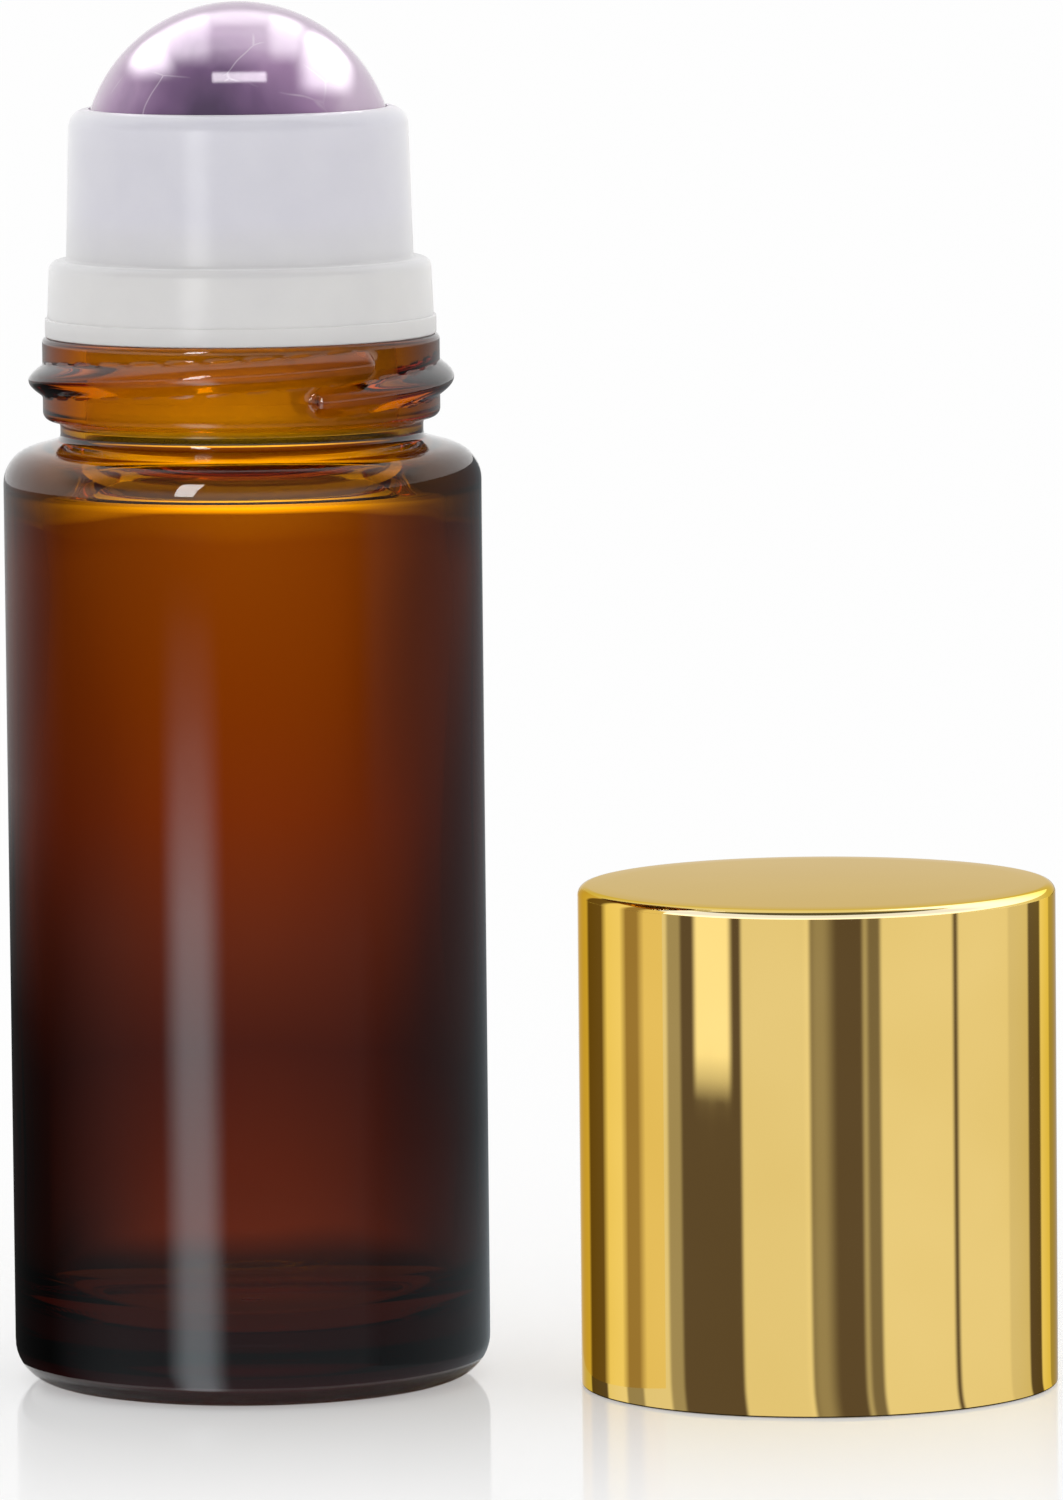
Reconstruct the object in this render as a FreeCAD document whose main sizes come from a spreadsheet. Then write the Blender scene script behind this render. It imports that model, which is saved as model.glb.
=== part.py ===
import FreeCAD, Part
import math
import os
from collections import namedtuple

import Sketcher

# Driving sizes, in millimetres and degrees, each with what it measures
SIZES = [
    ("ball_diameter", 25.4, "roller ball, one inch"),
    ("ball_clearance", 0.15, "gap between the ball and its socket"),
    ("ring_wall", 0.95, "wall of the ball ring beside the socket, at the top"),
    ("ring_draft", 0.35, "growth of the ring's radius from its top to its foot"),
    ("ring_height", 12.3, "ball ring above the ledge"),
    ("ring_round", 1.5, "rounding of the ring's top edge"),
    ("lip_height", 4.1, "mouth of the socket above the middle of the ball"),
    ("lip_round", 0.3, "rounding where the ring meets the ledge"),
    ("ledge_width", 1.4, "ledge from the ring to the outside of the band"),
    ("ledge_wall", 1.5, "thickness of the ledge over the hollow band"),
    ("ledge_round", 0.8, "rounding of the ledge's outer edge"),
    ("band_height", 6.2, "band between the rim of the glass and the ledge"),
    ("band_draft", 0.2, "growth of the band's radius from its top to its foot"),
    ("band_wall", 1.3, "wall of the hollow band at its top"),
    ("foot_step", 0.2, "how far the bead at the foot of the band stands out"),
    ("foot_height", 1.5, "height of that bead"),
    ("plug_inset", 0.2, "how much smaller the plug is than the socket, in radius"),
    ("plug_wall", 1.2, "wall of the plug"),
    ("plug_depth", 7.4, "plug below the rim of the glass"),
    ("plug_clearance", 0.15, "gap between the plug and the bore, closed by its ribs"),
    ("plug_lead", 0.7, "tapered lead at the bottom of the plug"),
    ("rib_count", 2, "sealing ribs round the plug"),
    ("rib_height", 0.9, "height of a sealing rib"),
    ("rib_spacing", 2.4, "from one sealing rib to the next, and from the rim to the first"),
    ("feed_diameter", 16.0, "opening under the ball"),
    ("seat_wall", 1.2, "wall of the conical seat under the ball"),
    ("slot_width", 1.8, "width of a feed slot in the seat"),
    ("slot_length", 2.2, "reach of a feed slot from the edge of the opening"),
    ("slot_count", 6, "feed slots"),
    ("shoulder_height", 76.0, "table to where the shoulder's slope meets the side"),
    ("shoulder_rise", 1.3, "rise of the shoulder from the side to the neck"),
    ("shoulder_wall", 2.5, "thickness of the shoulder, measured upright"),
    ("shoulder_round", 3.0, "rounding from the shoulder to the side"),
    ("chamber_round", 2.5, "rounding inside, from the shoulder to the side"),
    ("throat_round", 1.2, "rounding inside, from the neck to the shoulder"),
    ("body_overhang", 0.05, "how far the body stands out past the cap, in radius"),
    ("body_wall", 2.9, "glass wall of the body"),
    ("heel_round", 3.3, "rounding from the side to the base"),
    ("bearing_width", 2.0, "flat ring that the bottle stands on"),
    ("punt_height", 1.6, "push-up in the middle of the base"),
    ("floor_height", 5.6, "table to the floor inside"),
    ("floor_round", 4.5, "rounding inside, from the side to the floor"),
    ("neck_wall", 2.0, "glass wall of the neck at its narrowest"),
    ("relief_height", 1.6, "narrow part of the neck, over the shoulder"),
    ("relief_round", 0.6, "roundings of the narrow part of the neck"),
    ("finish_step", 1.4, "how far the threaded part stands out from the narrow part"),
    ("finish_height", 6.8, "threaded part of the neck, up to the rim"),
    ("finish_round", 0.7, "rounding under the threaded part"),
    ("rim_round", 0.45, "roundings of the rim"),
    ("thread_depth", 1.15, "height of the thread over the neck"),
    ("thread_root", 2.5, "width of the thread at its root"),
    ("thread_crest", 0.9, "width of the thread at its crest"),
    ("thread_bite", 0.4, "how deep the thread's root goes into the wall"),
    ("thread_lead", 5.2, "rise of the thread in one turn"),
    ("thread_sweep", 193.0, "length of one start of the thread, in degrees"),
    ("thread_starts", 2, "starts of the thread"),
    ("thread_drop", 1.75, "rim down to the middle of the thread's top end"),
    ("thread_end", -53.0, "direction of a start's top end, in degrees from +X"),
    ("thread_clearance", 0.3, "gap between the threads of the neck and the cap"),
    ("grip_root", 1.2, "width of the cap's thread at its root"),
    ("grip_crest", 0.4, "width of the cap's thread at its crest"),
    ("grip_sweep", 150.0, "length of one start of the cap's thread, in degrees"),
    ("insert_wall", 1.25, "wall of the threaded insert"),
    ("insert_top", 1.5, "thickness of the insert's ceiling"),
    ("insert_recess", 1.0, "rim of the cap to the lower edge of the insert"),
    ("insert_round", 0.8, "roundings of the insert, inside and at its top edge"),
    ("insert_lead", 0.5, "tapered entry of the insert"),
    ("insert_clearance", 0.05, "glue gap between the insert and the shell, in radius"),
    ("shell_wall", 0.5, "sheet of the cap's shell"),
    ("shell_round", 0.8, "rounding of the shell's top edge"),
    ("hem_round", 0.2, "roundings of the shell's rim"),
    ("closing_gap", 0.2, "closed cap's rim above the corner of the shoulder"),
    ("liner_diameter", 18.0, "foam disc under the cap's ceiling"),
    ("liner_thickness", 2.1, "thickness of that disc"),
    ("liner_clearance", 0.15, "play of the disc in its holder"),
    ("liner_gap", 0.2, "closed liner above the ball"),
    ("holder_wall", 1.0, "wall of the ring that holds the liner"),
    ("holder_bead", 0.35, "how far the ring's bead reaches under the liner"),
    ("cap_spacing", 7.3, "gap between the bottle and the cap that stands beside it"),
    ("cap_forward", 7.3, "how far the cap stands in front of the bottle"),
]

doc = FreeCAD.newDocument("RollOnBottle")
sheet = doc.addObject("Spreadsheet::Sheet", "Sizes")
for row, (alias, value, note) in enumerate(SIZES, start=1):
    sheet.set(f"A{row}", note)
    sheet.set(f"B{row}", str(value))
    sheet.setAlias(f"B{row}", alias)
doc.recompute()


class Size:
    """A length worked out from the sheet: its formula there, and what that gives now."""

    def __init__(self, formula, number):
        self.formula = formula
        self.number = number

    def __add__(self, other):
        return Size(f"({self.formula} + {other.formula})", self.number + other.number)

    def __sub__(self, other):
        return Size(f"({self.formula} - {other.formula})", self.number - other.number)

    def __mul__(self, other):
        return Size(f"({self.formula} * {other.formula})", self.number * other.number)

    def __truediv__(self, other):
        return Size(f"({self.formula} / {other.formula})", self.number / other.number)


def size(alias):
    return Size(f"Sizes.{alias}", float(sheet.get(alias)))


def plain(number):
    return Size(str(number), float(number))


def root(length):
    return Size(f"sqrt({length.formula})", math.sqrt(length.number))


def smaller(one, other):
    return Size(f"min({one.formula}; {other.formula})", min(one.number, other.number))


ZERO = plain(0)
TWO = plain(2)
FULL_TURN = plain(360)
DIAGONAL = root(TWO)

# Radii, from the ball outwards through the housing, the neck and the cap to the body
ball_radius = size("ball_diameter") / TWO
socket_radius = ball_radius + size("ball_clearance")
mouth_radius = root(socket_radius * socket_radius - size("lip_height") * size("lip_height"))
ring_top_radius = socket_radius + size("ring_wall")
ring_foot_radius = ring_top_radius + size("ring_draft")
band_top_radius = ring_foot_radius + size("ledge_width")
band_foot_radius = band_top_radius + size("band_draft")
band_hollow_radius = band_top_radius - size("band_wall")
foot_radius = band_foot_radius + size("foot_step")
feed_radius = size("feed_diameter") / TWO
plug_radius = socket_radius - size("plug_inset")
plug_bore_radius = plug_radius - size("plug_wall")
neck_bore_radius = plug_radius + size("plug_clearance")
relief_radius = neck_bore_radius + size("neck_wall")
finish_radius = relief_radius + size("finish_step")
thread_radius = finish_radius + size("thread_depth")
cap_bore_radius = thread_radius + size("thread_clearance")
grip_radius = finish_radius + size("thread_clearance")
insert_radius = cap_bore_radius + size("insert_wall")
shell_bore_radius = insert_radius + size("insert_clearance")
cap_radius = shell_bore_radius + size("shell_wall")
body_radius = cap_radius + size("body_overhang")
chamber_radius = body_radius - size("body_wall")
punt_radius = body_radius - size("heel_round") - size("bearing_width")
liner_radius = size("liner_diameter") / TWO
holder_radius = liner_radius + size("liner_clearance")

# Heights of the bottle above the table
shoulder_slope = size("shoulder_rise") / (body_radius - relief_radius)
neck_foot = size("shoulder_height") + size("shoulder_rise")
finish_foot = neck_foot + size("relief_height")
rim = finish_foot + size("finish_height")
chamber_top = size("shoulder_height") + size("body_wall") * shoulder_slope - size("shoulder_wall")
throat = chamber_top + (chamber_radius - neck_bore_radius) * shoulder_slope
thread_rise = size("thread_lead") * size("thread_sweep") / FULL_TURN
thread_foot = rim - size("thread_drop") - thread_rise

# Heights of the housing and the ball above the table
ledge = rim + size("band_height")
mouth = ledge + size("ring_height")
ball_height = mouth - size("lip_height")
seat_top = ball_height - socket_radius * DIAGONAL + socket_radius
seat_edge = ball_height - socket_radius * DIAGONAL + feed_radius
seat_drop = size("seat_wall") * DIAGONAL
seat_root = ball_height - socket_radius * DIAGONAL + plug_bore_radius - seat_drop

# Heights in the cap above its own rim
closed_rim = size("shoulder_height") + size("closing_gap")
liner_foot = ball_height + ball_radius + size("liner_gap") - closed_rim
liner_top = liner_foot + size("liner_thickness")
ceiling = liner_top + size("liner_clearance")
insert_height = ceiling + size("insert_top")
cap_height = insert_height + size("shell_wall")
holder_catch = liner_foot - size("liner_clearance")
holder_foot = holder_catch - size("holder_bead") - size("holder_bead")
grip_foot = thread_foot - closed_rim - size("thread_lead") / size("thread_starts") / TWO

# Where the cap stands
cap_across = body_radius + size("cap_spacing") + cap_radius
cap_along = ZERO - size("cap_forward")

# A corner of an outline, with its rounding, and whether an arc about the axis leads from it to the next
Corner = namedtuple("Corner", "across up rounding domed", defaults=(None, False))
# A side of an outline as drawn, with the ends that start and finish it
Side = namedtuple("Side", "index start finish")
START, FINISH, CENTRE = 1, 2, 3
ACROSS_AXIS, UP_AXIS = -1, -2
NORMAL = FreeCAD.Vector(0, 0, 1)


def sketch_on(body, role, name):
    plane = next(item for item in body.Origin.OriginFeatures if item.Role == role)
    sketch = body.newObject("Sketcher::SketchObject", name)
    sketch.AttachmentSupport = (plane, [""])
    sketch.MapMode = "FlatFace"
    return sketch


def bind(sketch, kind, *where):
    """Adds a dimension whose last item is a Size, and ties it to the sheet."""
    length = where[-1]
    index = sketch.addConstraint(Sketcher.Constraint(kind, *where[:-1], length.number))
    sketch.setExpression(f"Constraints[{index}]", length.formula)


def place_point(sketch, index, end, across, up):
    """Fixes a point at its distances from the two axes of the sketch."""
    for kind, axis, length in (("DistanceX", UP_AXIS, across), ("DistanceY", ACROSS_AXIS, up)):
        if length is ZERO:
            sketch.addConstraint(Sketcher.Constraint("PointOnObject", index, end, axis))
        else:
            bind(sketch, kind, ACROSS_AXIS, START, index, end, length)


def draw_arc(sketch, centre, start, finish):
    """Draws the shorter arc between two points, and says which end is which."""
    spokes = [start - centre, finish - centre]
    turns_left = spokes[0].cross(spokes[1]).z > 0
    first, last = spokes if turns_left else reversed(spokes)
    circle = Part.Circle(centre, NORMAL, spokes[0].Length)
    angles = [math.atan2(spoke.y, spoke.x) for spoke in (first, last)]
    index = sketch.addGeometry(Part.ArcOfCircle(circle, *angles))
    return Side(index, START, FINISH) if turns_left else Side(index, FINISH, START)


def draw_side(sketch, corner, start, finish):
    if not corner.domed:
        return Side(sketch.addGeometry(Part.LineSegment(start, finish)), START, FINISH)
    squares = finish.dot(finish) - start.dot(start)
    centre = FreeCAD.Vector(0, squares / 2 / (finish.y - start.y), 0)
    side = draw_arc(sketch, centre, start, finish)
    sketch.addConstraint(Sketcher.Constraint("PointOnObject", side.index, CENTRE, UP_AXIS))
    return side


def draw_outline(sketch, corners):
    """Draws a closed outline through corners, with tangent arcs at those that are rounded."""
    count = len(corners)
    spots = [FreeCAD.Vector(corner.across.number, corner.up.number, 0) for corner in corners]
    starts, finishes, centres = list(spots), list(spots), {}
    for here, corner in enumerate(corners):
        if corner.rounding is None:
            continue
        back = (spots[here - 1] - spots[here]).normalize()
        ahead = (spots[(here + 1) % count] - spots[here]).normalize()
        half = back.getAngle(ahead) / 2
        cut = corner.rounding.number / math.tan(half)
        finishes[here] = spots[here] + back * cut
        starts[here] = spots[here] + ahead * cut
        middle = (back + ahead).normalize()
        centres[here] = spots[here] + middle * (corner.rounding.number / math.sin(half))

    sides = [
        draw_side(sketch, corner, starts[here], finishes[(here + 1) % count])
        for here, corner in enumerate(corners)
    ]
    for here, corner in enumerate(corners):
        before, after = sides[here - 1], sides[here]
        if corner.rounding is None:
            ends = before.index, before.finish, after.index, after.start
            sketch.addConstraint(Sketcher.Constraint("Coincident", *ends))
            place_point(sketch, after.index, after.start, corner.across, corner.up)
            continue
        arc = draw_arc(sketch, centres[here], finishes[here], starts[here])
        point = sketch.addGeometry(Part.Point(spots[here]), True)
        for side in (before, after):
            on_side = Sketcher.Constraint("PointOnObject", point, START, side.index)
            sketch.addConstraint(on_side)
        place_point(sketch, point, START, corner.across, corner.up)
        meets = arc.index, arc.start, before.index, before.finish
        leaves = arc.index, arc.finish, after.index, after.start
        sketch.addConstraint(Sketcher.Constraint("Tangent", *meets))
        sketch.addConstraint(Sketcher.Constraint("Tangent", *leaves))
        bind(sketch, "Radius", arc.index, corner.rounding)


def new_body(node):
    body = doc.addObject("PartDesign::Body", node)
    body.Label = node
    return body


def turn_about_axis(body, name, corners):
    """Adds a solid of revolution about the body's own upright axis."""
    sketch = sketch_on(body, "XZ_Plane", f"{name}Outline")
    draw_outline(sketch, corners)
    turned = body.newObject("PartDesign::Revolution", name)
    turned.Profile = sketch
    turned.ReferenceAxis = (sketch, ["V_Axis"])
    turned.Angle = FULL_TURN.number
    doc.recompute()


def repeat_round(body, feature, name, count):
    """Repeats a feature evenly round the body's upright axis."""
    axis = next(item for item in body.Origin.OriginFeatures if item.Role == "Z_Axis")
    pattern = body.newObject("PartDesign::PolarPattern", name)
    pattern.Originals = [feature]
    pattern.Axis = (axis, [""])
    pattern.Angle = FULL_TURN.number
    pattern.setExpression("Occurrences", count.formula)
    body.Tip = pattern
    doc.recompute()


def wind_thread(body, name, section, first_angle, sweep):
    """Winds each start of a thread upwards from first_angle, right-handed."""
    sketch = sketch_on(body, "XZ_Plane", f"{name}Section")
    upright = FreeCAD.Vector(0, 1, 0)
    sketch.AttachmentOffset = FreeCAD.Placement(
        FreeCAD.Vector(), FreeCAD.Rotation(upright, first_angle.number)
    )
    sketch.setExpression("AttachmentOffset.Rotation.Angle", first_angle.formula)
    draw_outline(sketch, section)
    doc.recompute()
    helix = body.newObject("PartDesign::AdditiveHelix", name)
    helix.Profile = sketch
    helix.ReferenceAxis = (sketch, ["V_Axis"])
    helix.Mode = "pitch-turns-angle"
    helix.setExpression("Pitch", size("thread_lead").formula)
    helix.setExpression("Turns", (sweep / FULL_TURN).formula)
    doc.recompute()
    repeat_round(body, helix, f"{name}Starts", size("thread_starts"))


def stand(node, across, along, up):
    """Puts a sub-part in its place above the table."""
    for direction, length in zip("xyz", (across, along, up)):
        setattr(node.Placement.Base, direction, length.number)
        node.setExpression(f"Placement.Base.{direction}", length.formula)


def make_glass_bottle():
    body = new_body("glass_bottle")
    reach = body_radius - relief_radius
    inner_reach = chamber_radius - neck_bore_radius
    outline = [
        Corner(ZERO, size("punt_height"), domed=True),
        Corner(punt_radius, ZERO),
        Corner(body_radius, ZERO, size("heel_round")),
        Corner(body_radius, size("shoulder_height"), smaller(size("shoulder_round"), reach)),
        Corner(relief_radius, neck_foot, size("relief_round")),
        Corner(relief_radius, finish_foot, size("relief_round")),
        Corner(finish_radius, finish_foot, size("finish_round")),
        Corner(finish_radius, rim, size("rim_round")),
        Corner(neck_bore_radius, rim, size("rim_round")),
        Corner(neck_bore_radius, throat, smaller(size("throat_round"), inner_reach / TWO)),
        Corner(chamber_radius, chamber_top, smaller(size("chamber_round"), inner_reach)),
        Corner(chamber_radius, size("floor_height"), size("floor_round")),
        Corner(ZERO, size("floor_height")),
    ]
    turn_about_axis(body, "Glass", outline)

    thread_root = finish_radius - size("thread_bite")
    half_root = size("thread_root") / TWO
    half_crest = size("thread_crest") / TWO
    section = [
        Corner(thread_root, thread_foot - half_root),
        Corner(thread_radius, thread_foot - half_crest),
        Corner(thread_radius, thread_foot + half_crest),
        Corner(thread_root, thread_foot + half_root),
    ]
    first_angle = size("thread_end") - size("thread_sweep")
    wind_thread(body, "NeckThread", section, first_angle, size("thread_sweep"))
    return body


def plug_ribs():
    """Corners of the sealing ribs, from the lowest up."""
    corners = []
    for place in range(int(size("rib_count").number), 0, -1):
        top = rim - size("rib_spacing") * plain(place)
        foot = top - size("rib_height")
        corners += [
            Corner(plug_radius, foot),
            Corner(neck_bore_radius, foot),
            Corner(neck_bore_radius, top),
            Corner(plug_radius, top),
        ]
    return corners


def make_ball_housing():
    body = new_body("ball_housing")
    plug_foot = rim - size("plug_depth")
    foot_top = rim + size("foot_height")
    outline = [
        Corner(plug_bore_radius, plug_foot),
        Corner(plug_radius - size("plug_lead") / TWO, plug_foot),
        Corner(plug_radius, plug_foot + size("plug_lead")),
        *plug_ribs(),
        Corner(plug_radius, ledge - size("ledge_wall")),
        Corner(band_hollow_radius, ledge - size("ledge_wall")),
        Corner(band_hollow_radius, rim),
        Corner(foot_radius, rim),
        Corner(foot_radius, foot_top),
        Corner(band_foot_radius, foot_top),
        Corner(band_top_radius, ledge, size("ledge_round")),
        Corner(ring_foot_radius, ledge, size("lip_round")),
        Corner(ring_top_radius, mouth, smaller(size("ring_round"), ring_top_radius - mouth_radius)),
        Corner(mouth_radius, mouth, domed=True),
        Corner(socket_radius, ball_height),
        Corner(socket_radius, seat_top),
        Corner(feed_radius, seat_edge),
        Corner(feed_radius, seat_edge - seat_drop),
        Corner(plug_bore_radius, seat_root),
    ]
    turn_about_axis(body, "Moulding", outline)

    sketch = sketch_on(body, "XY_Plane", "SlotOutline")
    half_width = size("slot_width") / TWO
    reach = feed_radius + size("slot_length")
    low = ZERO - half_width
    draw_outline(
        sketch,
        [
            Corner(ZERO, low),
            Corner(reach, low),
            Corner(reach, half_width),
            Corner(ZERO, half_width),
        ],
    )
    slot = body.newObject("PartDesign::Pocket", "FeedSlot")
    slot.Profile = sketch
    slot.Type = "ThroughAll"
    slot.SideType = "Symmetric"
    doc.recompute()
    repeat_round(body, slot, "FeedSlots", size("slot_count"))
    return body


def make_roller_ball():
    ball = doc.addObject("Part::Sphere", "roller_ball")
    ball.Label = "roller_ball"
    ball.setExpression("Radius", ball_radius.formula)
    stand(ball, ZERO, ZERO, ball_height)
    return ball


def make_cap_shell():
    body = new_body("cap_shell")
    outline = [
        Corner(shell_bore_radius, ZERO, size("hem_round")),
        Corner(cap_radius, ZERO, size("hem_round")),
        Corner(cap_radius, cap_height, size("shell_round")),
        Corner(ZERO, cap_height),
        Corner(ZERO, insert_height),
        Corner(shell_bore_radius, insert_height, smaller(size("shell_round"), size("shell_wall"))),
    ]
    turn_about_axis(body, "Shell", outline)
    stand(body, cap_across, cap_along, ZERO)
    return body


def make_cap_insert():
    body = new_body("cap_insert")
    foot = size("insert_recess")
    bead_radius = holder_radius - size("holder_bead")
    holder_outside = holder_radius + size("holder_wall")
    outline = [
        Corner(cap_bore_radius + size("insert_lead"), foot),
        Corner(insert_radius, foot),
        Corner(insert_radius, insert_height, size("insert_round")),
        Corner(ZERO, insert_height),
        Corner(ZERO, ceiling),
        Corner(holder_radius, ceiling),
        Corner(holder_radius, holder_catch),
        Corner(bead_radius, holder_catch - size("holder_bead")),
        Corner(holder_radius, holder_foot),
        Corner(holder_outside, holder_foot),
        Corner(holder_outside, ceiling),
        Corner(cap_bore_radius, ceiling, size("insert_round")),
        Corner(cap_bore_radius, foot + size("insert_lead")),
    ]
    turn_about_axis(body, "Insert", outline)

    grip_root = cap_bore_radius + size("thread_bite")
    half_root = size("grip_root") / TWO
    half_crest = size("grip_crest") / TWO
    section = [
        Corner(grip_radius, grip_foot - half_crest),
        Corner(grip_root, grip_foot - half_root),
        Corner(grip_root, grip_foot + half_root),
        Corner(grip_radius, grip_foot + half_crest),
    ]
    wind_thread(body, "CapThread", section, size("thread_end"), size("grip_sweep"))
    stand(body, cap_across, cap_along, ZERO)
    return body


def make_cap_liner():
    liner = doc.addObject("Part::Cylinder", "cap_liner")
    liner.Label = "cap_liner"
    liner.setExpression("Radius", liner_radius.formula)
    liner.setExpression("Height", size("liner_thickness").formula)
    stand(liner, cap_across, cap_along, liner_foot)
    return liner


def check(nodes):
    """Stops the script if anything in the document failed, before a file is written."""
    for item in doc.Objects:
        if "Invalid" in item.State or "Error" in item.State:
            raise RuntimeError(f"{item.Label} failed: {item.State}")
        if item.TypeId == "Sketcher::SketchObject" and not item.FullyConstrained:
            raise RuntimeError(f"{item.Label} is not fully constrained")
    for node in nodes:
        if node.Shape.isNull() or not node.Shape.isValid() or len(node.Shape.Solids) != 1:
            raise RuntimeError(f"{node.Label} is not one valid solid")


nodes = [
    make_glass_bottle(),
    make_ball_housing(),
    make_roller_ball(),
    make_cap_shell(),
    make_cap_insert(),
    make_cap_liner(),
]
doc.recompute()
check(nodes)

os.makedirs("parts", exist_ok=True)
for node in nodes:
    node.Shape.exportStep(f"parts/{node.Label}.step")
    box = node.Shape.BoundBox
    print(f"{node.Label}: {node.Shape.Volume:.1f} mm3, top at {box.ZMax:.2f} mm")
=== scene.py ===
import math
from collections import namedtuple

import bpy
import numpy as np
from mathutils import Euler, Matrix, Vector


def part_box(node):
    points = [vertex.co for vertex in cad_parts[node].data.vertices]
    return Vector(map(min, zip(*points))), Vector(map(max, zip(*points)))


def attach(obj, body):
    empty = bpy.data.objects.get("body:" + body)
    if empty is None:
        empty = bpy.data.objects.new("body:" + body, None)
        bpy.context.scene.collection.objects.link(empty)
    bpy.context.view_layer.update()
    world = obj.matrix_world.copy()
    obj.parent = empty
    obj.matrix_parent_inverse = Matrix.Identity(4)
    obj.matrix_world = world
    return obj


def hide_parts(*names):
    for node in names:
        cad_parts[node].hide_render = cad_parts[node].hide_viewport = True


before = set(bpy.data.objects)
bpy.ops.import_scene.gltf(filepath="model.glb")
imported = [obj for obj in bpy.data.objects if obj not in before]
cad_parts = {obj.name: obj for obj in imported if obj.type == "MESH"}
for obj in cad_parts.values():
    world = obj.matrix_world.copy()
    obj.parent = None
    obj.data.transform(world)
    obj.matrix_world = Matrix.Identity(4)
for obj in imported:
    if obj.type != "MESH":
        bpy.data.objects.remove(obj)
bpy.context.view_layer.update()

# All sizes are in millimetres, and become metres where a mesh is made
MM = 0.001


def box_mm(node):
    low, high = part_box(node)
    return low / MM, high / MM


# Sizes read from the frame
_, bottle_high = box_mm("glass_bottle")
housing_low, housing_high = box_mm("ball_housing")
ball_low, ball_high = box_mm("roller_ball")
shell_low, shell_high = box_mm("cap_shell")
insert_low, insert_high = box_mm("cap_insert")
liner_low, liner_high = box_mm("cap_liner")

body_radius = bottle_high.x
rim = bottle_high.z
mouth = housing_high.z
plug_foot = housing_low.z
foot_radius = housing_high.x
ball_radius = (ball_high.z - ball_low.z) / 2
ball_height = (ball_high.z + ball_low.z) / 2
cap_centre = (shell_low + shell_high) / 2
cap_radius = (shell_high.x - shell_low.x) / 2
cap_height = shell_high.z
insert_radius = (insert_high.x - insert_low.x) / 2
insert_foot = insert_low.z
insert_top = insert_high.z
liner_radius = (liner_high.x - liner_low.x) / 2
liner_foot = liner_low.z
liner_top = liner_high.z

# Pieces that touch are parted by this, so that no two faces share a plane
SEAT_GAP = 0.02

# Glass bottle
HEEL_ROUND = 3.3
BEARING_WIDTH = 2.0
PUNT_HEIGHT = 1.6
FLOOR_HEIGHT = 5.6
FLOOR_ROUND = 4.5
BODY_WALL = 2.9
SHOULDER_HEIGHT = 76.0
SHOULDER_RISE = 1.3
SHOULDER_WALL = 2.5
SHOULDER_ROUND = 3.0
CHAMBER_ROUND = 2.5
THROAT_ROUND = 1.2
NECK_BORE = 12.8
NECK_WALL = 2.0
RELIEF_HEIGHT = 1.6
RELIEF_ROUND = 0.6
FINISH_STEP = 1.4
FINISH_ROUND = 0.7
RIM_ROUND = 0.45
THREAD_DEPTH = 1.15
THREAD_HALF_WIDTH = 1.3
THREAD_LEAD = 5.2
THREAD_SWEEP = 193.0
THREAD_DROP = 1.75
THREAD_END = -53.0
THREAD_STARTS = 2

# Ball housing
BALL_CLEARANCE = 0.15
RING_WALL = 0.95
RING_DRAFT = 0.35
RING_HEIGHT = 12.3
RING_ROUND = 1.5
LIP_HEIGHT = 4.1
LIP_ROUND = 0.3
LEDGE_WALL = 1.5
LEDGE_ROUND = 0.8
BAND_DRAFT = 0.2
BAND_WALL = 1.3
FOOT_STEP = 0.2
FOOT_HEIGHT = 1.5
FOOT_ROUND = 0.15
PLUG_RADIUS = 12.65
PLUG_WALL = 1.2
PLUG_LEAD = 0.7
RIB_HEIGHT = 0.9
RIB_SPACING = 2.4
RIB_COUNT = 2
FEED_RADIUS = 8.0
SEAT_WALL = 1.2
SLOT_WIDTH = 1.8
SLOT_LENGTH = 2.2
SLOT_COUNT = 6

# Cap
SHELL_WALL = 0.5
SHELL_ROUND = 0.8
SHELL_CROWN = 0.1
HEM_ROUND = 0.2
CAP_BORE = 17.65
INSERT_CEILING = 1.5
INSERT_ROUND = 0.8
INSERT_LEAD = 0.5
GRIP_HALF_WIDTH = 0.7
GRIP_FOOT = 3.66
GRIP_SWEEP = 150.0
HOLDER_CLEARANCE = 0.15
HOLDER_WALL = 1.0
HOLDER_BEAD = 0.35
LINER_ROUND = 0.3

# Meshes

# A corner of an outline: its place, its rounding, whether an arc about the axis leads on from it, and the
# spacing of the rows after it
Corner = namedtuple("Corner", "across up rounding domed step", defaults=(0.0, False, 2.0))
ARC_STEP = math.radians(8)
STEPS_ROUND = 320
SHARP_EDGE = math.radians(40)
ON_AXIS = 1e-9


def unit(vector):
    return vector / np.linalg.norm(vector)


def bend_at(before, here, after, rounding):
    """Points along the tangent arc that rounds a corner."""
    back, ahead = unit(before - here), unit(after - here)
    half = math.acos(np.clip(back @ ahead, -1, 1)) / 2
    middle = here + unit(back + ahead) * rounding / math.sin(half)
    first, last = [here + way * rounding / math.tan(half) - middle for way in (back, ahead)]
    sweep = math.pi - 2 * half
    shares = np.linspace(0, 1, max(3, math.ceil(sweep / ARC_STEP)) + 1)
    return [
        middle + (math.sin((1 - share) * sweep) * first + math.sin(share * sweep) * last) / math.sin(sweep)
        for share in shares
    ]


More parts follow.
